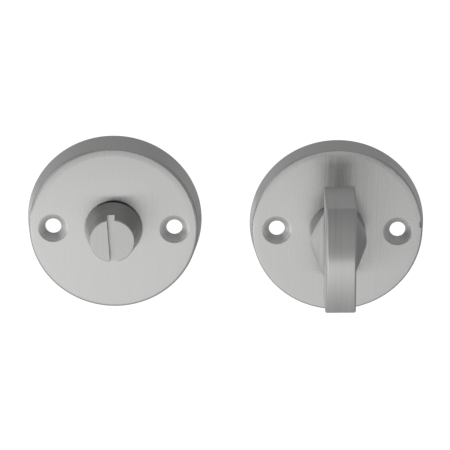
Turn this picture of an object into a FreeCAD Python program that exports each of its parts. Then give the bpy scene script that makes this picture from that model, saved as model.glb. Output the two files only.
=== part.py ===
import FreeCAD
import Part
import math
import os

from FreeCAD import Vector

# Bathroom lock in two halves, standing side by side as they come out of the box.
# The thumb turn half is the inside of the door, the release half is the outside.
# X runs to the right, Y runs back into the door and Z runs up. The origin is the
# thumb turn's axis on the plane where its rose meets the door.

# Places of the two halves, and the thumb turn's lean to the left at rest, in degrees
RELEASE_LEFT = 70.2
RELEASE_RISE = 0.75
TURN_LEAN = 1.0

# Screw holes, one on each side of the axis
SCREW_CENTRES = 38.0
SCREW_HOLE_R = 2.5
SCREW_HEAD_R = 4.2
SCREW_HEAD_ANGLE = 90.0
SCREW_MOUTH_R = 1.5
SCREW_TO_RIM = 8.5

# Roses: hollow turned shells, wider at the door than at the front, with a slightly domed border
ROSE_BACK_R = SCREW_CENTRES / 2 + SCREW_TO_RIM
RIM_WALL = 1.5
FACE_WALL = 2.4
INNER_CORNER_R = 0.8
TURN_ROSE_DEEP = 7.4
TURN_ROSE_TAPER = 0.75
TURN_ROSE_EDGE_R = 0.6
TURN_BORDER_WIDE = 1.9
TURN_BORDER_R = 36.0
RELEASE_ROSE_DEEP = 9.3
RELEASE_ROSE_TAPER = 1.1
RELEASE_ROSE_EDGE_R = 0.9
RELEASE_BORDER_WIDE = 2.5
RELEASE_BORDER_R = 40.0
BUSH_FIT = 0.05

# Flanged bearing bush
BUSH_R = 7.0
BUSH_FLANGE_R = 8.3
TURN_FLANGE_THICK = 0.4
RELEASE_FLANGE_THICK = 0.8
RUNNING_FIT = 0.06
END_FLOAT = 0.05

# Moulded carrier behind the face of each rose
CARRIER_WEB = 1.8
CARRIER_WALL = 1.3
CARRIER_SIDE_GAP = 0.3
CARRIER_BACK_GAP = 0.2
CARRIER_RIB = 1.2
CARRIER_RIB_ANGLES = (45, 90, 135, 225, 270, 315)
CARRIER_CUP_R = 8.7
SCREW_NOTCH_R = 6.2

# Neck with its retaining parts
NECK_R = 5.5
NECK_CHAMFER = 0.3
GROOVE_R = 4.8
GROOVE_SLACK = 0.1
NECK_END_LAND = 0.65
WASHER_R = 8.0
WASHER_THICK = 0.5
WASHER_HOLE_SLACK = 0.12
WAVE_THICK = 0.3
WAVE_HIGH = 0.7
WAVE_COUNT = 3
WAVE_POINTS = 8
CIRCLIP_FIT = 0.02
CIRCLIP_THICK = 0.8
CIRCLIP_BACK_WIDE = 2.1
CIRCLIP_TIP_WIDE = 1.3
CIRCLIP_OPENING = 3.4
CIRCLIP_LUG_R = 1.15
CIRCLIP_LUG_HOLE_R = 0.6

# Spindle and the sockets that take it
SPINDLE_ACROSS = 5.0
SPINDLE_LONG = 66.0
SPINDLE_CHAMFER = 0.5
SOCKET_SLACK = 0.1
TURN_SOCKET_DEEP = 12.0
RELEASE_SOCKET_DEEP = 9.5
SOCKET_END_GAP = 0.3

# Thumb turn: round boss, round-to-flat transition and arched grip
BOSS_R = 8.75
BOSS_TOP = 9.0
BOSS_BASE_CHAMFER = 0.25
BAR_THICK = 9.6
BAR_WAIST = 0.3
SEAT_HALF = 11.6
SEAT_HIGH = 13.0
SEAT_SPLIT_ANGLE = 20.0
SEAT_SINK = 1.3
SEAT_BLEND_R = 1.2
SEAT_CORNER_R = 0.4
WING_BACK_HALF = 18.9
WING_BACK_HIGH = 11.0
WING_FRONT_HALF = 17.25
WING_FRONT_HIGH = 26.4
CROWN_HIGH = 30.5
GRIP_LONG_EDGE_R = 0.6
GRIP_CROSS_EDGE_R = 1.0

# Release knob: slotted cone
KNOB_BASE_R = 9.0
KNOB_END_R = 6.95
KNOB_HIGH = 11.4
KNOB_EDGE_R = 0.35
SLOT_WIDE = 2.4
SLOT_DEEP = 2.9
SLOT_LEAN = 3.9

CUT_OVER = 1.0
AXIS = Vector(0, 1, 0)
CENTRE = Vector(0, 0, 0)


def turned(profile):
    """A closed profile of (radius, y) points, turned about the Y axis."""
    points = [Vector(radius, y, 0) for radius, y in profile]
    wire = Part.makePolygon(points + points[:1])
    return Part.Face(wire).revolve(CENTRE, AXIS, 360)


def disc(radius, front, back):
    """A round bar along Y from front to back."""
    return Part.makeCylinder(radius, back - front, Vector(0, front, 0), AXIS)


def ring(inner, outer, front, back):
    """A flat ring around Y from front to back."""
    return disc(outer, front, back).cut(disc(inner, front, back))


def block(x0, x1, front, back, z0, z1):
    """A box between two corners."""
    return Part.makeBox(x1 - x0, back - front, z1 - z0, Vector(x0, front, z0))


def rounded(solid, radius, chosen):
    """The solid with the chosen edges rounded."""
    return solid.makeFillet(radius, [edge for edge in solid.Edges if chosen(edge)])


def circle_at(edge, radius, y):
    """True for a full circle of this radius in the plane at y."""
    curve = edge.Curve
    if not isinstance(curve, Part.Circle):
        return False
    return abs(curve.Radius - radius) < 0.01 and abs(curve.Center.y - y) < 0.01


def shell_inner_r(deep, taper):
    """The shell's inner radius at the back of its face wall."""
    return ROSE_BACK_R - RIM_WALL - taper * (deep - FACE_WALL) / deep


def rose(deep, taper, edge_r, border_wide, border_r):
    """A hollow turned shell: tapered side, domed border, rounded edge, centre bore and screw holes."""
    face = -deep
    front_r = ROSE_BACK_R - taper
    inner_face = face + FACE_WALL
    inner_back_r = ROSE_BACK_R - RIM_WALL
    inner_front_r = shell_inner_r(deep, taper)
    flat_r = front_r - border_wide

    def border_point(out):
        return Vector(flat_r + out, face + border_r - math.sqrt(border_r ** 2 - out ** 2), 0)

    edge = border_point(border_wide)
    profile = [
        Part.makeLine(Vector(0, face, 0), border_point(0)),
        Part.Arc(border_point(0), border_point(border_wide / 2), edge).toShape(),
        Part.makeLine(edge, Vector(ROSE_BACK_R, 0, 0)),
        Part.makeLine(Vector(ROSE_BACK_R, 0, 0), CENTRE),
        Part.makeLine(CENTRE, Vector(0, face, 0)),
    ]
    outside = Part.Face(Part.Wire(profile)).revolve(CENTRE, AXIS, 360)
    outside = rounded(outside, edge_r, lambda circle: circle_at(circle, edge.x, edge.y))
    hollow = turned([(0, inner_face), (inner_front_r, inner_face), (inner_back_r, 0), (0, 0)])
    hollow = rounded(hollow, INNER_CORNER_R, lambda edge: circle_at(edge, inner_front_r, inner_face))
    shell = outside.cut(hollow).cut(disc(BUSH_R + BUSH_FIT, face, inner_face))
    head_deep = (SCREW_HEAD_R - SCREW_HOLE_R) / math.tan(math.radians(SCREW_HEAD_ANGLE / 2))
    for side in (-1, 1):
        place = Vector(side * SCREW_CENTRES / 2, face, 0)
        shell = shell.cut(Part.makeCylinder(SCREW_HOLE_R, FACE_WALL, place, AXIS))
        shell = shell.cut(Part.makeCone(SCREW_HEAD_R, SCREW_HOLE_R, head_deep, place, AXIS))
    return rounded(shell, SCREW_MOUTH_R, lambda edge: circle_at(edge, SCREW_HEAD_R, face))


def notches(radius, front, back):
    """Two slots, open to the sides, that keep clear of the screws."""
    reach = ROSE_BACK_R
    shapes = []
    for side in (-1, 1):
        centre = side * SCREW_CENTRES / 2
        low, high = sorted((centre, side * reach))
        round_end = Part.makeCylinder(radius, back - front, Vector(centre, front, 0), AXIS)
        shapes.append(round_end.fuse(block(low, high, front, back, -radius, radius)))
    return shapes[0].fuse(shapes[1])


def carrier(deep, taper):
    """A moulded insert: web, outer wall with screw notches, washer cup and radial ribs."""
    front = -deep + FACE_WALL
    web_back = front + CARRIER_WEB
    back = -CARRIER_BACK_GAP
    outer_r = shell_inner_r(deep, taper) - CARRIER_SIDE_GAP
    flat_r = outer_r - INNER_CORNER_R
    corner_y = front + INNER_CORNER_R
    body = turned([(0, front), (flat_r, front), (outer_r, corner_y), (outer_r, back), (0, back)])
    body = body.cut(notches(SCREW_NOTCH_R, front, back))
    inside = disc(outer_r - CARRIER_WALL, web_back, back)
    inside = inside.cut(notches(SCREW_NOTCH_R + CARRIER_WALL, web_back, back))
    inside = inside.cut(disc(CARRIER_CUP_R + CARRIER_WALL, web_back, back))
    for angle in CARRIER_RIB_ANGLES:
        rib = block(CARRIER_CUP_R, outer_r, web_back, back, -CARRIER_RIB / 2, CARRIER_RIB / 2)
        rib.rotate(CENTRE, AXIS, angle)
        inside = inside.cut(rib)
    body = body.cut(inside)
    body = body.cut(disc(CARRIER_CUP_R, web_back, back))
    return body.cut(disc(BUSH_R + BUSH_FIT, front, web_back))


def bush(deep, flange_thick):
    """A flanged bush: the flange lies on the rose's face and the sleeve ends at the carrier's web."""
    face = -deep
    sleeve_back = face + FACE_WALL + CARRIER_WEB
    flange = ring(NECK_R + RUNNING_FIT, BUSH_FLANGE_R, face - flange_thick, face)
    sleeve = ring(NECK_R + RUNNING_FIT, BUSH_R, face, sleeve_back)
    return flange.fuse(sleeve).removeSplitter()


def wave_edge(radius, front, high):
    """A closed wavy curve around Y at one radius."""
    steps = WAVE_COUNT * WAVE_POINTS
    points = []
    for step in range(steps):
        angle = 2 * math.pi * step / steps
        lift = high * (1 - math.cos(WAVE_COUNT * angle)) / 2
        points.append(Vector(radius * math.cos(angle), front + lift, radius * math.sin(angle)))
    curve = Part.BSplineCurve()
    curve.interpolate(Points=points, PeriodicFlag=True)
    return curve.toShape()


def wave_washer(seat):
    """A spring washer with three waves, standing on the face at y = seat."""
    inner_r = NECK_R + WASHER_HOLE_SLACK
    swing = WAVE_HIGH - WAVE_THICK
    front_inner = wave_edge(inner_r, seat, swing)
    front_outer = wave_edge(WASHER_R, seat, swing)
    back_inner = wave_edge(inner_r, seat + WAVE_THICK, swing)
    back_outer = wave_edge(WASHER_R, seat + WAVE_THICK, swing)
    faces = [
        Part.makeRuledSurface(front_inner, front_outer),
        Part.makeRuledSurface(back_inner, back_outer),
        Part.makeRuledSurface(front_inner, back_inner),
        Part.makeRuledSurface(front_outer, back_outer),
    ]
    shell = Part.makeShell(faces)
    shell.sewShape()
    solid = Part.makeSolid(shell)
    if solid.Volume < 0:
        solid.reverse()
    return solid


def flat_washer(front):
    """A plain ring that turns with the neck."""
    return ring(NECK_R + WASHER_HOLE_SLACK, WASHER_R, front, front + WASHER_THICK)


def circlip(front):
    """An open retaining ring, widest opposite its opening, with two eyed lugs."""
    back = front + CIRCLIP_THICK
    inner_r = GROOVE_R + CIRCLIP_FIT
    outer_r = inner_r + (CIRCLIP_BACK_WIDE + CIRCLIP_TIP_WIDE) / 2
    shift = (CIRCLIP_BACK_WIDE - CIRCLIP_TIP_WIDE) / 2
    band = Part.makeCylinder(outer_r, CIRCLIP_THICK, Vector(0, front, shift), AXIS)
    half = CIRCLIP_OPENING / 2
    lug_low = inner_r + CIRCLIP_LUG_R
    for side in (-1, 1):
        centre = Vector(side * (half + CIRCLIP_LUG_R), front, -lug_low)
        band = band.fuse(Part.makeCylinder(CIRCLIP_LUG_R, CIRCLIP_THICK, centre, AXIS))
    band = band.cut(disc(inner_r, front, back))
    band = band.cut(block(-half, half, front, back, -outer_r - CUT_OVER, 0))
    for side in (-1, 1):
        centre = Vector(side * (half + CIRCLIP_LUG_R), front, -lug_low)
        band = band.cut(Part.makeCylinder(CIRCLIP_LUG_HOLE_R, CIRCLIP_THICK, centre, AXIS))
    return band


def stack(deep):
    """Where the retaining parts lie behind the carrier's web, as named y places."""
    web_back = -deep + FACE_WALL + CARRIER_WEB
    flat_front = web_back + WAVE_HIGH + END_FLOAT
    groove_front = flat_front + WASHER_THICK
    clip_front = groove_front + GROOVE_SLACK / 2
    groove_back = groove_front + CIRCLIP_THICK + GROOVE_SLACK
    return {
        "wave": web_back,
        "flat": flat_front,
        "groove_front": groove_front,
        "clip": clip_front,
        "groove_back": groove_back,
        "neck_end": groove_back + NECK_END_LAND,
    }


def neck(front, deep, socket_deep):
    """The round neck behind a boss or knob, and the square socket to cut from it."""
    places = stack(deep)
    end = places["neck_end"]
    shaft = disc(NECK_R, front, end)
    shaft = shaft.makeChamfer(NECK_CHAMFER, [edge for edge in shaft.Edges if circle_at(edge, NECK_R, end)])
    shaft = shaft.cut(ring(GROOVE_R, NECK_R + CUT_OVER, places["groove_front"], places["groove_back"]))
    half = (SPINDLE_ACROSS + SOCKET_SLACK) / 2
    socket = block(-half, half, end - socket_deep, end, -half, half)
    return shaft, socket


def boss_point(degrees, y):
    """A point on the boss's front circle."""
    angle = math.radians(degrees)
    return Vector(BOSS_R * math.cos(angle), y, BOSS_R * math.sin(angle))


def transition(high_y):
    """Round at the boss, four-cornered at the grip: a ruled face on each side, between corner edges."""
    rise = (SEAT_HIGH - BOSS_TOP + SEAT_SINK) / (SEAT_HIGH - BOSS_TOP)
    base = high_y(BOSS_TOP)
    top = high_y(SEAT_HIGH + SEAT_SINK)
    start = boss_point(SEAT_SPLIT_ANGLE, base)
    half_x = start.x + (BAR_THICK / 2 - BAR_WAIST - start.x) * rise
    half_z = start.z + (SEAT_HALF - start.z) * rise
    corners = [Vector(x * half_x, top, z * half_z) for x, z in ((1, -1), (1, 1), (-1, 1), (-1, -1))]
    splits = [side + sign * SEAT_SPLIT_ANGLE for side in (0, 180) for sign in (-1, 1)]
    splits.append(splits[0] + 360)
    arcs = []
    faces = []
    for side in range(4):
        first, last = splits[side], splits[side + 1]
        middle = boss_point((first + last) / 2, base)
        arc = Part.Arc(boss_point(first, base), middle, boss_point(last, base)).toShape()
        line = Part.makeLine(corners[side], corners[(side + 1) % 4])
        arcs.append(arc)
        faces.append(Part.makeRuledSurface(arc, line))
    faces.append(Part.Face(Part.Wire(arcs)))
    faces.append(Part.Face(Part.makePolygon(corners + corners[:1])))
    shell = Part.makeShell(faces)
    shell.sewShape()
    solid = Part.makeSolid(shell)
    if solid.Volume < 0:
        solid.reverse()
    return solid


def grip(high_y):
    """The arched bar: its side view, cut by its slightly waisted front view, with soft edges."""
    half_thick = BAR_THICK / 2
    back_tip = [Vector(0, high_y(WING_BACK_HIGH), side * WING_BACK_HALF) for side in (-1, 1)]
    front_tip = [Vector(0, high_y(WING_FRONT_HIGH), side * WING_FRONT_HALF) for side in (-1, 1)]
    crown = Vector(0, high_y(CROWN_HIGH), 0)
    side_view = Part.Wire([
        Part.makeLine(front_tip[0], back_tip[0]),
        Part.makeLine(back_tip[0], back_tip[1]),
        Part.makeLine(back_tip[1], front_tip[1]),
        Part.Arc(front_tip[1], crown, front_tip[0]).toShape(),
    ])
    slab = Part.Face(side_view).extrude(Vector(BAR_THICK * 2, 0, 0))
    slab.translate(Vector(-BAR_THICK, 0, 0))
    low = high_y(CROWN_HIGH)
    reach = WING_BACK_HALF + CUT_OVER
    edges = []
    for side in (-1, 1):
        waist = Vector(side * (half_thick - BAR_WAIST), low, 0)
        start = Vector(side * half_thick, low, -side * reach)
        finish = Vector(side * half_thick, low, side * reach)
        edges.append(Part.Arc(start, waist, finish).toShape())
    edges.append(Part.makeLine(Vector(half_thick, low, reach), Vector(-half_thick, low, reach)))
    edges.append(Part.makeLine(Vector(-half_thick, low, -reach), Vector(half_thick, low, -reach)))
    front_view = Part.Wire(Part.__sortEdges__(edges))
    plan = Part.Face(front_view).extrude(AXIS * (CROWN_HIGH - WING_BACK_HIGH))
    bar = slab.common(plan)

    def is_cross(edge):
        return edge.BoundBox.XLength > half_thick

    bar = rounded(bar, GRIP_CROSS_EDGE_R, is_cross)
    return rounded(bar, GRIP_LONG_EDGE_R, lambda edge: not is_cross(edge))


def thumb_turn():
    """Boss, transition, grip and neck in one piece, with the spindle's socket."""
    back_face = -TURN_ROSE_DEEP - TURN_FLANGE_THICK - END_FLOAT

    def high_y(high):
        return -TURN_ROSE_DEEP - high

    def near_seat(edge):
        centre = edge.CenterOfMass
        in_height = high_y(SEAT_HIGH + SEAT_SINK) < centre.y < high_y(BOSS_TOP)
        return in_height and abs(centre.z) < SEAT_HALF

    def is_flank_seam(edge):
        return near_seat(edge) and edge.BoundBox.ZLength > SEAT_HALF

    def is_corner(edge):
        return near_seat(edge) and abs(edge.BoundBox.YMax - high_y(BOSS_TOP)) < 0.01

    boss = disc(BOSS_R, high_y(BOSS_TOP), back_face)
    foot = [edge for edge in boss.Edges if circle_at(edge, BOSS_R, back_face)]
    boss = boss.makeChamfer(BOSS_BASE_CHAMFER, foot)
    body = boss.fuse([transition(high_y), grip(high_y)]).removeSplitter()
    body = rounded(body, SEAT_BLEND_R, is_flank_seam)
    body = rounded(body, SEAT_CORNER_R, is_corner)
    shaft, socket = neck(back_face, TURN_ROSE_DEEP, TURN_SOCKET_DEEP)
    return body.fuse(shaft).removeSplitter().cut(socket)


def release_knob():
    """A slotted cone and its neck in one piece, with the spindle's socket."""
    face = -RELEASE_ROSE_DEEP
    back_face = face - RELEASE_FLANGE_THICK - END_FLOAT
    end = face - KNOB_HIGH
    cone = turned([(0, end), (KNOB_END_R, end), (KNOB_BASE_R, back_face), (0, back_face)])
    cone = rounded(cone, KNOB_EDGE_R, lambda edge: circle_at(edge, KNOB_END_R, end))
    cone = cone.cut(block(-SLOT_WIDE / 2, SLOT_WIDE / 2, end, end + SLOT_DEEP, -KNOB_BASE_R, KNOB_BASE_R))
    shaft, socket = neck(back_face, RELEASE_ROSE_DEEP, RELEASE_SOCKET_DEEP)
    return cone.fuse(shaft).removeSplitter().cut(socket)


def spindle():
    """A square bar from the bottom of the turn's socket out of the back, chamfered at both ends."""
    front = stack(TURN_ROSE_DEEP)["neck_end"] - TURN_SOCKET_DEEP + SOCKET_END_GAP
    half = SPINDLE_ACROSS / 2
    bar = block(-half, half, front, front + SPINDLE_LONG, -half, half)
    ends = [edge for edge in bar.Edges if edge.BoundBox.YLength < 0.01]
    return bar.makeChamfer(SPINDLE_CHAMFER, ends)


def inner_parts(name, deep, taper, flange_thick):
    """The carrier, bush and retaining parts of one half, by node name."""
    places = stack(deep)
    return {
        name + "_carrier": carrier(deep, taper),
        name + "_bush": bush(deep, flange_thick),
        name + "_wave_washer": wave_washer(places["wave"]),
        name + "_flat_washer": flat_washer(places["flat"]),
        name + "_circlip": circlip(places["clip"]),
    }


def build():
    """Every node of the lock at its place."""
    nodes = inner_parts("turn", TURN_ROSE_DEEP, TURN_ROSE_TAPER, TURN_FLANGE_THICK)
    nodes["turn_rose"] = rose(TURN_ROSE_DEEP, TURN_ROSE_TAPER, TURN_ROSE_EDGE_R,
                              TURN_BORDER_WIDE, TURN_BORDER_R)
    nodes["thumb_turn"] = thumb_turn()
    nodes["spindle"] = spindle()
    for turning in ("thumb_turn", "turn_circlip", "spindle"):
        nodes[turning].rotate(CENTRE, AXIS, -TURN_LEAN)
    release = inner_parts("release", RELEASE_ROSE_DEEP, RELEASE_ROSE_TAPER, RELEASE_FLANGE_THICK)
    release["release_rose"] = rose(RELEASE_ROSE_DEEP, RELEASE_ROSE_TAPER, RELEASE_ROSE_EDGE_R,
                                   RELEASE_BORDER_WIDE, RELEASE_BORDER_R)
    release["release_knob"] = release_knob()
    for turning in ("release_knob", "release_circlip"):
        release[turning].rotate(CENTRE, AXIS, -SLOT_LEAN)
    for node, shape in release.items():
        shape.translate(Vector(-RELEASE_LEFT, 0, RELEASE_RISE))
        nodes[node] = shape
    return nodes


os.makedirs("parts", exist_ok=True)
for node, shape in build().items():
    shape.exportStep("parts/" + node + ".step")
    print(node, "volume", round(shape.Volume, 1), "valid", shape.isValid(), "solids", len(shape.Solids))
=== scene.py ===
# %% [markdown]
# # A bathroom thumb turn lock in satin steel
#
# The lock has two halves. The inside half is a round rose with a bar-shaped thumb turn, and the
# outside half is a round rose with a slotted release knob. The construction model is loaded first
# as a fixed frame, and everything below is placed in that same frame, in metres: X runs right,
# Y runs back into the door and Z runs up.

# %% Load the frame
import math

import bmesh
import bpy
from mathutils import Matrix, Vector


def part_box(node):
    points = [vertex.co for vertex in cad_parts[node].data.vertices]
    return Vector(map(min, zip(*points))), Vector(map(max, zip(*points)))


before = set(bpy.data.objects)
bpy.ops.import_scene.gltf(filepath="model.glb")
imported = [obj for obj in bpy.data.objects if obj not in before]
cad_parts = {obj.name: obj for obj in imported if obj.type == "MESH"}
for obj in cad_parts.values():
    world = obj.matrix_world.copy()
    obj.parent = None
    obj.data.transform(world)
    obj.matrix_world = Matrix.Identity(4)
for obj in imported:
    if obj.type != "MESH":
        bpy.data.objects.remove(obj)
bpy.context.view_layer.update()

MM = 0.001

# %% [markdown]
# Both halves turn about an axis along Y. Their centres could be typed in, but then they would have
# to be kept in step with the construction. Reading them from the boxes of the two roses avoids that.

# %% Find the two axes
def middle(node):
    low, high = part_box(node)
    return (low + high) / 2


turn_centre = middle("turn_rose")
release_centre = middle("release_rose")
print("turn axis x, z:", round(turn_centre.x, 4), round(turn_centre.z, 4))
print("release axis x, z:", round(release_centre.x, 4), round(release_centre.z, 4))

# %% [markdown]
# ## Camera
# The lock is seen from straight in front and from 20 degrees above, from far away with a long
# lens. The camera could be turned by hand until the picture fits, but it is easier to keep right
# when it is worked out: it looks at the point halfway between the two axes, on the plane of the
# door. A small roll and shift then place the two roses as they are in the photograph.

# %% Place the camera
CAMERA_FAR = 0.800
CAMERA_LENS = 202.0
CAMERA_SENSOR = 36.0
CAMERA_ABOVE = math.radians(20.1)
CAMERA_ASIDE = math.radians(-0.26)
CAMERA_ROLL = math.radians(-0.61)
FRAME_PIXELS = 450
SHIFT_RIGHT_PIXELS = 0.65
SHIFT_DOWN_PIXELS = -4.70

look_at = Vector(((turn_centre.x + release_centre.x) / 2, 0.0, (turn_centre.z + release_centre.z) / 2))
away = Vector((
    math.sin(CAMERA_ASIDE) * math.cos(CAMERA_ABOVE),
    -math.cos(CAMERA_ASIDE) * math.cos(CAMERA_ABOVE),
    math.sin(CAMERA_ABOVE),
))
camera_data = bpy.data.cameras.new("camera")
camera = bpy.data.objects.new("camera", camera_data)
bpy.context.scene.collection.objects.link(camera)
camera.location = look_at + away * CAMERA_FAR
camera.rotation_mode = "QUATERNION"
level = (-away).to_track_quat("-Z", "Y")
camera.rotation_quaternion = level @ Matrix.Rotation(-CAMERA_ROLL, 3, "Z").to_quaternion()
camera_data.sensor_width = CAMERA_SENSOR
camera_data.lens = CAMERA_LENS
camera_data.shift_x = -SHIFT_RIGHT_PIXELS / FRAME_PIXELS
camera_data.shift_y = SHIFT_DOWN_PIXELS / FRAME_PIXELS
camera_data.clip_start = 0.01
camera_data.clip_end = 20.0
bpy.context.scene.camera = camera
print("camera at, m:", [round(value, 3) for value in camera.location])

# %% [markdown]
# ## Node helpers
# Each finish is a small graph of shader nodes. Written out node by node, a graph is long and hard
# to follow, so a few helpers keep it short. The first adds a node and fills its sockets: a socket
# is named by its name, with _ for a space, or by _ and its number where names repeat. The second
# starts a material and hands back its main shader.

# %% Helpers for nodes and materials
def add(tree, kind, settings=None, **sockets):
    node = tree.nodes.new(kind)
    for name, value in (settings or {}).items():
        setattr(node, name, value)
    for name, value in sockets.items():
        socket = node.inputs[int(name[1:])] if name[1:].isdigit() else node.inputs[name.replace("_", " ")]
        if isinstance(value, bpy.types.NodeSocket):
            tree.links.new(value, socket)
        else:
            socket.default_value = value
    return node


def new_material(name, color, roughness, metallic=0.0):
    material = bpy.data.materials.new(name)
    material.use_nodes = True
    tree = material.node_tree
    shader = tree.nodes["Principled BSDF"]
    shader.inputs["Base Color"].default_value = (*color, 1.0)
    shader.inputs["Roughness"].default_value = roughness
    shader.inputs["Metallic"].default_value = metallic
    return material, tree, shader

# %% [markdown]
# The other helpers do sums inside a graph: arithmetic, and mixing two numbers or two directions.
# The Mix node keeps separate sockets for each kind of value, and they are reached by number.

# %% Helpers for sums in a graph
def math_node(tree, operation, first, second=0.0, third=0.0):
    return add(tree, "ShaderNodeMath", {"operation": operation}, _0=first, _1=second, _2=third).outputs[0]


def mix_values(tree, factor, first, second):
    return add(tree, "ShaderNodeMix", {"data_type": "FLOAT"}, _0=factor, _2=first, _3=second).outputs[0]


def mix_vectors(tree, factor, first, second):
    return add(tree, "ShaderNodeMix", {"data_type": "VECTOR"}, _0=factor, _4=first, _5=second).outputs[1]


def parts_of(tree, vector):
    return add(tree, "ShaderNodeSeparateXYZ", _0=vector).outputs

# %% [markdown]
# ## The scratches of satin steel
# Satin steel is polished with belts, which leave fine parallel scratches. They could be painted as
# single lines, but there are thousands of them, so a noise is stretched along the scratches until
# only streaks are left of it. One noise gives streaks about 0.15 mm apart and another gives broad
# ones about 0.7 mm apart. Both read the piece's own coordinates, so the grain turns with the piece.

# %% Streaks
STREAKS_FINE = 7000.0
STREAKS_BROAD = 1500.0
STREAKS_LONG = 40.0
BROAD_SHARE = 0.45
NOISE_DETAIL = 3.0
NOISE_ROUGHNESS = 0.6
NOISE_LOW = 0.3
NOISE_HIGH = 0.7


def streak_noise(tree, position, across_scale, across_axes):
    """A noise that changes fast along the axes named and slowly along the others."""
    scales = [across_scale if axis in across_axes else STREAKS_LONG for axis in "XYZ"]
    stretched = add(tree, "ShaderNodeVectorMath", {"operation": "MULTIPLY"}, _0=position, _1=scales)
    noise = add(tree, "ShaderNodeTexNoise", Vector=stretched.outputs[0], Scale=1.0, Detail=NOISE_DETAIL,
                Roughness=NOISE_ROUGHNESS)
    return noise.outputs["Fac"]


def between(tree, noise, low, high):
    """The noise, spread over the range from low to high."""
    spread = add(tree, "ShaderNodeMapRange", Value=noise, From_Min=NOISE_LOW, From_Max=NOISE_HIGH,
                 To_Min=low, To_Max=high)
    return spread.outputs[0]


print("streaks apart, mm:", round(1 / STREAKS_FINE / MM, 2), "and", round(1 / STREAKS_BROAD / MM, 2))

# %% [markdown]
# ## Satin steel
# The scratches do three things: they show as faint streaks of tone, they make some streaks duller
# than others, and they smear a reflection across the scratches and hardly along them. The smear
# could come from real grooves in a bump, but those would have to be far finer than a pixel. The
# shader's anisotropy does it directly, with a tangent that runs across the scratches.
#
# A piece has two directions of grain: a straight one on its flat faces, and a round one where it
# was held against the belt while it turned. A mask chooses between them, 0 for straight and 1 for
# round. The tangent is switched there and not mixed, because two opposite tangents would cancel.
# Some places were cut after the polish, such as a countersink. A piece can name those places and
# give them their own tone and roughness; the knob also uses this to paint shade into its slot.

# %% Satin steel
STREAK_DARKER = -0.07
STREAK_LIGHTER = 0.05
STREAK_SMOOTHER = -0.04
STREAK_DULLER = 0.05
SCRATCH_STRENGTH = 0.12
SCRATCH_DEPTH = 0.01 * MM


def scratch_tangent(tree, place, mask):
    """Level and across the upright grain of a flat face, and along the axis where the grain is round."""
    level_side = add(tree, "ShaderNodeVectorMath", {"operation": "CROSS_PRODUCT"},
                     _0=place.outputs["Normal"], _1=(0.0, 0.0, 1.0))
    along_axis = add(tree, "ShaderNodeCombineXYZ", Y=1.0)
    turned_here = math_node(tree, "GREATER_THAN", mask, 0.5)
    tangent = mix_vectors(tree, turned_here, level_side.outputs[0], along_axis.outputs[0])
    transform = {"vector_type": "VECTOR", "convert_from": "OBJECT", "convert_to": "WORLD"}
    return add(tree, "ShaderNodeVectorTransform", transform, Vector=tangent).outputs[0]


def satin_steel(name, color, roughness, smear, mask_of, straight="X", round_axes="Y", flat_streaks=1.0,
                turned_streaks=1.0, cut=None):
    material, tree, shader = new_material(name, color, roughness, metallic=1.0)
    place = add(tree, "ShaderNodeTexCoord")
    position = place.outputs["Object"]
    mask = mask_of(tree, place)
    layers = []
    for across in (STREAKS_FINE, STREAKS_BROAD):
        flat = streak_noise(tree, position, across, straight)
        turned = streak_noise(tree, position, across, round_axes)
        layers.append(mix_values(tree, mask, flat, turned))
    fine, broad = layers
    both = mix_values(tree, BROAD_SHARE, fine, broad)

    streak = between(tree, both, STREAK_DARKER, STREAK_LIGHTER)
    strength = mix_values(tree, mask, flat_streaks, turned_streaks)
    tone = math_node(tree, "MULTIPLY_ADD", streak, strength, 1.0)
    dull = between(tree, both, roughness + STREAK_SMOOTHER, roughness + STREAK_DULLER)
    if cut:
        cut_here = cut["where"](tree, place)
        # A cut place's own tone; on the knob's slot floor it is painted shade.
        cut_and_shade_tone = math_node(tree, "MULTIPLY_ADD", streak, cut["streaks"], cut["tone"])
        tone = mix_values(tree, cut_here, tone, cut_and_shade_tone)
        dull = mix_values(tree, cut_here, dull, cut["roughness"])
    tint = add(tree, "ShaderNodeVectorMath", {"operation": "SCALE"}, Scale=tone)
    tint.inputs[0].default_value = color
    tree.links.new(tint.outputs[0], shader.inputs["Base Color"])
    tree.links.new(dull, shader.inputs["Roughness"])

    shader.inputs["Anisotropic"].default_value = smear
    tree.links.new(scratch_tangent(tree, place, mask), shader.inputs["Tangent"])
    bump = add(tree, "ShaderNodeBump", Strength=SCRATCH_STRENGTH, Distance=SCRATCH_DEPTH, Height=fine)
    tree.links.new(bump.outputs[0], shader.inputs["Normal"])
    return material

# %% [markdown]
# ## The roses
# A rose is brushed upright on its face and round on its rim. Which is which could be told by the
# distance from the axis, but the surface's own direction tells it for every turned piece: a face
# looks forward or back along Y, and a rim looks sideways.

# %% Faces and turned sides
FACING_FLAT = 0.97
FACING_SIDE = 0.85


def side_mask(tree, place):
    """0 on faces that look forward or back, 1 on the sides that run round the axis."""
    facing = math_node(tree, "ABSOLUTE", parts_of(tree, place.outputs["Normal"])["Y"])
    side = add(tree, "ShaderNodeMapRange", Value=facing, From_Min=FACING_FLAT, From_Max=FACING_SIDE)
    return side.outputs[0]

# %% [markdown]
# The two countersinks of a rose are drilled after the polish, so they are duller than the face and
# show the drill's turning marks. They are found by their distance from the screw holes, which lie
# 19 mm to each side of the axis, and by the slope of their cone. Taking the sideways distance
# without its sign finds both holes with one sum.

# %% Steel of the roses
HOLE_ASIDE = 19.0 * MM
HOLE_REACH = 4.6 * MM


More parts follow.
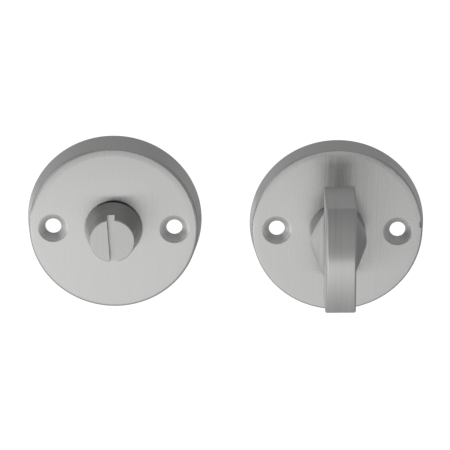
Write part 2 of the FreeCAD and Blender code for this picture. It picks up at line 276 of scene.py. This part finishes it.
def countersink_of(centre):
    """1 in the cones round the two screw holes of the rose with this centre."""
    def where(tree, place):
        from_centre = add(tree, "ShaderNodeVectorMath", {"operation": "SUBTRACT"},
                          _0=place.outputs["Object"], _1=(centre.x, 0.0, centre.z))
        offset = parts_of(tree, from_centre.outputs[0])
        aside = math_node(tree, "SUBTRACT", math_node(tree, "ABSOLUTE", offset["X"]), HOLE_ASIDE)
        from_hole = add(tree, "ShaderNodeCombineXYZ", X=aside, Z=offset["Z"])
        reach = add(tree, "ShaderNodeVectorMath", {"operation": "LENGTH"}, _0=from_hole.outputs[0])
        near = math_node(tree, "LESS_THAN", reach.outputs["Value"], HOLE_REACH)
        return math_node(tree, "MULTIPLY", near, side_mask(tree, place))
    return where


def rose_steel(name, centre, color):
    cut = {"where": countersink_of(centre), "roughness": 0.45, "streaks": 2.5, "tone": 1.30}
    return satin_steel(name, color, roughness=0.26, smear=0.95, mask_of=side_mask, flat_streaks=1.15, cut=cut)


# The release rose is the same part as the turn rose; its slightly darker colour is painted shade.
turn_rose_steel = rose_steel("turn_rose_steel", turn_centre, (0.575, 0.575, 0.57))
release_rose_steel = rose_steel("release_rose_steel", release_centre, (0.565, 0.565, 0.56))
print("rose finishes:", turn_rose_steel.name, "and", release_rose_steel.name)

# %% [markdown]
# ## The thumb turn
# The turn is one piece. Its round boss is brushed round the axis. Its grip is brushed lengthwise on
# the front and the flanks, and from front to back on its two ends. The boss ends 16.4 mm in front
# of the door, where the grip's flanks begin, so the place along Y tells the two apart.

# %% Steel of the turn
BOSS_END = -16.4 * MM
BOSS_BLEND = 0.2 * MM


def boss_mask(tree, place):
    """1 on the round boss, 0 on the grip."""
    depth = parts_of(tree, place.outputs["Object"])["Y"]
    boss = add(tree, "ShaderNodeMapRange", Value=depth,
               From_Min=BOSS_END - BOSS_BLEND, From_Max=BOSS_END + BOSS_BLEND)
    return boss.outputs[0]


turn_steel = satin_steel("turn_steel", (0.58, 0.58, 0.575), roughness=0.30, smear=0.90, mask_of=boss_mask,
                         flat_streaks=1.6)
print("grip begins before the door, mm:", round(-BOSS_END / MM, 1))

# %% [markdown]
# ## The release knob
# The knob's cone is turned and shows clear turning marks. Its slot is milled after that, and the
# cutter leaves the floor smoother than the end face. The floor is also painted a little darker than
# the end face, as painted shade in the slot. The floor is what looks forward from more than 2 mm
# behind the knob's end.

# %% Steel of the knob
SLOT_FLOOR_FROM = 2.0 * MM
FACING_FRONT = 0.9
knob_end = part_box("release_knob")[0].y


def slot_floor(tree, place):
    """1 on the floor of the knob's slot."""
    depth = parts_of(tree, place.outputs["Object"])["Y"]
    deep = math_node(tree, "GREATER_THAN", depth, knob_end + SLOT_FLOOR_FROM)
    front = math_node(tree, "LESS_THAN", parts_of(tree, place.outputs["Normal"])["Y"], -FACING_FRONT)
    return math_node(tree, "MULTIPLY", deep, front)


# The slot floor's lower tone is painted shade in the slot; its lower roughness is the cutter's smoother
# finish.
slot_cut_and_shade = {"where": slot_floor, "roughness": 0.20, "streaks": 2.5, "tone": 0.86}
knob_steel = satin_steel("knob_steel", (0.55, 0.55, 0.545), roughness=0.34, smear=0.80, mask_of=side_mask,
                         flat_streaks=1.4, turned_streaks=3.0, cut=slot_cut_and_shade)
print("knob's end before the door, mm:", round(-knob_end / MM, 2))

# %% [markdown]
# ## The moulded pieces behind the faces
# The carriers are moulded in dark nylon with a fine spark-eroded texture, and the bushes are turned
# from black acetal. A plain colour would look like painted metal, so a fine noise roughens the
# surface and a wide one lets the tone drift a little, as it does in a moulding.

# %% Plastic
CLOUD_SCALE = 90.0
CLOUD_CHANGE = 0.15
DULL_CHANGE = 0.06
GRAIN_STRENGTH = 0.5
PLASTIC_DETAIL = 2.0


def plain_noise(tree, position, scale):
    noise = add(tree, "ShaderNodeTexNoise", Vector=position, Scale=scale, Detail=PLASTIC_DETAIL)
    return noise.outputs["Fac"]


def moulded(name, color, roughness, grain_scale, grain_depth):
    material, tree, shader = new_material(name, color, roughness)
    position = add(tree, "ShaderNodeTexCoord").outputs["Object"]
    grain = plain_noise(tree, position, grain_scale)
    cloud = plain_noise(tree, position, CLOUD_SCALE)
    shade = between(tree, cloud, 1 - CLOUD_CHANGE, 1 + CLOUD_CHANGE)
    tint = add(tree, "ShaderNodeVectorMath", {"operation": "SCALE"}, Scale=shade)
    tint.inputs[0].default_value = color
    tree.links.new(tint.outputs[0], shader.inputs["Base Color"])
    dull = between(tree, grain, roughness - DULL_CHANGE, roughness + DULL_CHANGE)
    tree.links.new(dull, shader.inputs["Roughness"])
    bump = add(tree, "ShaderNodeBump", Strength=GRAIN_STRENGTH, Distance=grain_depth, Height=grain)
    tree.links.new(bump.outputs[0], shader.inputs["Normal"])
    return material


carrier_nylon = moulded("carrier_nylon", (0.035, 0.035, 0.038), roughness=0.5,
                        grain_scale=6000.0, grain_depth=0.02 * MM)
bush_acetal = moulded("bush_acetal", (0.012, 0.012, 0.012), roughness=0.35,
                      grain_scale=9000.0, grain_depth=0.005 * MM)
print("plastics:", carrier_nylon.name, "and", bush_acetal.name)

# %% [markdown]
# ## Springs, clips, washers and spindle
# The clips and wave washers are dark spring steel, and the flat washers and the spindle are bright
# zinc plate. Neither has a brushed grain. Their surface varies finely all over, so the same steel is
# used with streaks that are short in more than one direction and with little smear.

# %% Spring steel and plated steel
spring_steel = satin_steel("spring_steel", (0.16, 0.16, 0.17), roughness=0.34, smear=0.4, mask_of=side_mask,
                           straight="XZ")
plated_steel = satin_steel("plated_steel", (0.70, 0.71, 0.73), roughness=0.24, smear=0.4, mask_of=side_mask,
                           straight="XZ", round_axes="XZ")
print("hidden steels:", spring_steel.name, "and", plated_steel.name)

# %% [markdown]
# ## Dress the pieces
# Every piece of the construction gets one finish in each of its material slots. One table says
# which piece gets which, so a missing piece is easy to see.

# %% Give each piece its finish
finish_of = {
    "turn_rose": turn_rose_steel,
    "release_rose": release_rose_steel,
    "thumb_turn": turn_steel,
    "release_knob": knob_steel,
    "turn_carrier": carrier_nylon,
    "release_carrier": carrier_nylon,
    "turn_bush": bush_acetal,
    "release_bush": bush_acetal,
    "turn_wave_washer": spring_steel,
    "release_wave_washer": spring_steel,
    "turn_circlip": spring_steel,
    "release_circlip": spring_steel,
    "turn_flat_washer": plated_steel,
    "release_flat_washer": plated_steel,
    "spindle": plated_steel,
}
for node, finish in finish_of.items():
    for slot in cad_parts[node].material_slots:
        slot.material = finish
print("finished nodes:", len(finish_of), "of", len(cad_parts))

# %% [markdown]
# ## Table
# The lock hangs upright over a round white table, as on a door. Satin steel has hardly any colour
# of its own: what it shows is its surroundings, smeared sideways. They could be built from many
# small lamps and cards, but it is simpler to paint the light onto the table: it is worked out there
# from the direction and the distance, as a mirror would see it.
#
# The table has a lit band all round the lock, which merges into plain grey far away and, in the
# lock's own shade, close by. The band is brightest at the front left and dark at the right. Soft
# spots lie on the table as well: the light of a window at the left, two wide pale ones before and
# behind it, and a dim one at the right.

# %% What the table mirrors
TABLE_BELOW = 0.20
TABLE_R = 2.40
PLAIN_GREY = 0.42
BAND_BRIGHTEST = 2.0
BAND_BY_DIRECTION = (
    (-180, 0.42), (-155, 0.50), (-110, 0.54), (-80, 0.62), (-55, 0.95), (-30, 1.15), (-10, 1.07),
    (0, 0.99), (10, 0.87), (22, 0.58), (60, 0.27), (110, 0.26), (150, 0.34), (180, 0.42),
)
BAND_BY_DISTANCE = (
    (0.0, 0.0), (0.10, 0.22), (0.15, 0.42), (0.22, 0.68), (0.31, 0.92), (0.40, 1.0),
    (0.54, 0.98), (0.61, 1.07), (0.66, 0.86), (0.71, 0.53), (0.77, 0.26), (0.95, 0.08), (1.30, 0.0),
)
SPOTS = {
    "window": {"x": -1.10, "y": 0.0, "reach": 0.35, "brightness": 2.0},
    "pale_front": {"x": -0.90, "y": -0.70, "reach": 1.00, "brightness": 0.80},
    "pale_back": {"x": -0.42, "y": 0.86, "reach": 0.70, "brightness": 0.60},
    "dim_right": {"x": 0.95, "y": -0.60, "reach": 1.10, "brightness": -0.12},
}
print("spots on the table:", ", ".join(SPOTS))

# %% [markdown]
# The band's brightness is given at a few directions and a few distances. A colour ramp joins such
# stops by straight lines and needs one node, where sums would need many. A ramp only holds values
# up to one, so the brightness is divided before it and multiplied after it. The soft spots need no
# stops: each is one smooth rise from its edge to its middle.

# %% Helpers for the painted light
def smooth_step(tree, value, start, end, height):
    """A soft rise from 0 at the start to the height at the end."""
    step = add(tree, "ShaderNodeMapRange", {"interpolation_type": "SMOOTHSTEP"}, Value=value,
               From_Min=start, From_Max=end, To_Min=0.0, To_Max=height)
    return step.outputs[0]


def ramp(tree, share, stops, longest, shift, brightest):
    """A curve through stops of (place, brightness), read at a share of the longest place."""
    node = tree.nodes.new("ShaderNodeValToRGB")
    elements = node.color_ramp.elements
    while len(elements) < len(stops):
        elements.new(0.5)
    for element, (place, brightness) in zip(elements, stops):
        element.position = place / longest + shift
        element.color = (*[brightness / brightest] * 3, 1.0)
    tree.links.new(share, node.inputs["Fac"])
    return math_node(tree, "MULTIPLY", node.outputs["Color"], brightest)


def direction_turn(tree, vector):
    """The direction round the upright axis as 0 to 1, with the front at a half and the left below it."""
    parts = parts_of(tree, vector)
    front = math_node(tree, "MULTIPLY", parts["Y"], -1.0)
    angle = math_node(tree, "ARCTAN2", parts["X"], front)
    return math_node(tree, "MULTIPLY_ADD", angle, 1 / math.tau, third=0.5)

# %% [markdown]
# The table top itself is one flat disc. It belongs to the stage and not to the lock.

# %% Table top
TABLE_SIDES = 96
table_mesh = bpy.data.meshes.new("table")
table_shape = bmesh.new()
bmesh.ops.create_circle(table_shape, cap_ends=True, radius=TABLE_R, segments=TABLE_SIDES)
bmesh.ops.translate(table_shape, verts=table_shape.verts, vec=(0.0, 0.0, -TABLE_BELOW))
table_shape.to_mesh(table_mesh)
table_shape.free()
table = bpy.data.objects.new("table", table_mesh)
bpy.context.scene.collection.objects.link(table)
print("table across, m:", round(table.dimensions.x, 2))

# %% [markdown]
# The paint adds the band and the spots up, and only mirror rays see this light. Camera rays see
# plain white, mixed with enough of the pale paint to keep the lock's soft shadow. All other rays
# see the pale paint alone, so the painted light doesn't brighten the plastic pieces.

# %% Table paint
CAMERA_SEES = 1.35
CAMERA_SHARE = 0.7
table_paint, tree, shader = new_material("table_paint", (0.85, 0.85, 0.85), roughness=0.8)
position = add(tree, "ShaderNodeTexCoord").outputs["Object"]
around = ramp(tree, direction_turn(tree, position), BAND_BY_DIRECTION, 360, 0.5, BAND_BRIGHTEST)
flat = add(tree, "ShaderNodeVectorMath", {"operation": "MULTIPLY"}, _0=position, _1=(1.0, 1.0, 0.0))
distance = add(tree, "ShaderNodeVectorMath", {"operation": "LENGTH"}, _0=flat.outputs[0]).outputs["Value"]
share_of_table = math_node(tree, "DIVIDE", distance, TABLE_R)
band = ramp(tree, share_of_table, BAND_BY_DISTANCE, TABLE_R, 0.0, 1.0)
reflected = mix_values(tree, band, PLAIN_GREY, around)
for spot in SPOTS.values():
    from_spot = add(tree, "ShaderNodeVectorMath", {"operation": "DISTANCE"}, _0=position,
                    _1=(spot["x"], spot["y"], -TABLE_BELOW))
    soft = smooth_step(tree, from_spot.outputs["Value"], spot["reach"], 0.0, spot["brightness"])
    reflected = math_node(tree, "ADD", reflected, soft)

rays = add(tree, "ShaderNodeLightPath")
seen = mix_values(tree, rays.outputs["Is Camera Ray"], reflected, CAMERA_SEES)
share = math_node(tree, "MULTIPLY", rays.outputs["Is Camera Ray"], CAMERA_SHARE)
share = math_node(tree, "MAXIMUM", share, rays.outputs["Is Glossy Ray"])
share = math_node(tree, "MAXIMUM", share, rays.outputs["Is Transmission Ray"])
light = add(tree, "ShaderNodeEmission", Strength=seen)
blend = add(tree, "ShaderNodeMixShader", _0=share, _1=shader.outputs[0], _2=light.outputs[0])
tree.links.new(blend.outputs[0], tree.nodes["Material Output"].inputs["Surface"])
table_mesh.materials.append(table_paint)
print("nodes in the table paint:", len(tree.nodes))

# %% [markdown]
# ## Room
# The room above the table is grey. It could be a box of walls, but the rims and the knob only need
# its broad changes, so the background itself is shaded by direction. It is a little lighter at the
# left and behind the lock, and it darkens upwards, up to the ceiling, which is light again. A soft
# glow just above the table at the front left lights the left sides of the rims. Camera rays see
# plain white.

# %% Room
ROOM_GREY = 0.45
ROOM_TO_RIGHT = -0.10
ROOM_TO_BACK = 0.07
ROOM_TO_TOP = -0.26
ROOM_LEAST = 0.28
CEILING_FROM = 0.60
CEILING_FULL = 0.95
CEILING_LIGHT = 0.12
GLOW_TOWARDS = (-0.680, -0.730, 0.052)
GLOW_SPREAD = math.radians(26.0)
GLOW_CORE = math.radians(10.0)
FRONT_GLOW = 0.5
world = bpy.data.worlds.new("room")
world.use_nodes = True
bpy.context.scene.world = world
tree = world.node_tree
tree.nodes.clear()
towards = add(tree, "ShaderNodeTexCoord").outputs["Generated"]
slope = (ROOM_TO_RIGHT, ROOM_TO_BACK, ROOM_TO_TOP)
change = add(tree, "ShaderNodeVectorMath", {"operation": "DOT_PRODUCT"}, _0=towards, _1=slope)
grey = math_node(tree, "MAXIMUM", math_node(tree, "ADD", change.outputs["Value"], ROOM_GREY), ROOM_LEAST)
ceiling = smooth_step(tree, parts_of(tree, towards)["Z"], CEILING_FROM, CEILING_FULL, CEILING_LIGHT)
grey = math_node(tree, "ADD", grey, ceiling)
near_glow = add(tree, "ShaderNodeVectorMath", {"operation": "DOT_PRODUCT"}, _0=towards, _1=GLOW_TOWARDS)
glow = smooth_step(tree, near_glow.outputs["Value"], math.cos(GLOW_SPREAD), math.cos(GLOW_CORE), FRONT_GLOW)
grey = math_node(tree, "ADD", grey, glow)
rays = add(tree, "ShaderNodeLightPath")
room = mix_values(tree, rays.outputs["Is Camera Ray"], grey, 1.0)
background = add(tree, "ShaderNodeBackground", Color=(1.0, 1.0, 1.0, 1.0), Strength=room)
add(tree, "ShaderNodeOutputWorld", Surface=background.outputs[0])
print("nodes in the room:", len(tree.nodes))

# %% [markdown]
# ## Lamp
# The plastic pieces and the table need light of their own, because they don't mirror the painted
# light. A large soft lamp at the upper left gives it. The steel doesn't mirror the lamp, because the
# photograph shows no bright spot on the steel.

# %% Lamp
LAMP_SIZE = 0.6
LAMP_WATTS = 6.0
LAMP_PLACE = (-0.5, -0.3, 0.9)
lamp_data = bpy.data.lights.new("window_lamp", "AREA")
lamp_data.shape = "RECTANGLE"
lamp_data.size = LAMP_SIZE
lamp_data.size_y = LAMP_SIZE
lamp_data.energy = LAMP_WATTS
lamp = bpy.data.objects.new("window_lamp", lamp_data)
bpy.context.scene.collection.objects.link(lamp)
lamp.location = LAMP_PLACE
lamp.rotation_mode = "QUATERNION"
lamp.rotation_quaternion = (look_at - lamp.location).to_track_quat("-Z", "Y")
lamp.visible_glossy = False
print("lamp from the lock, m:", round((look_at - lamp.location).length, 2))

# %% [markdown]
# ## Finish
# The colours go to the picture as they are, without a film look.

# %% View settings and finish
bpy.context.scene.view_settings.view_transform = "Standard"
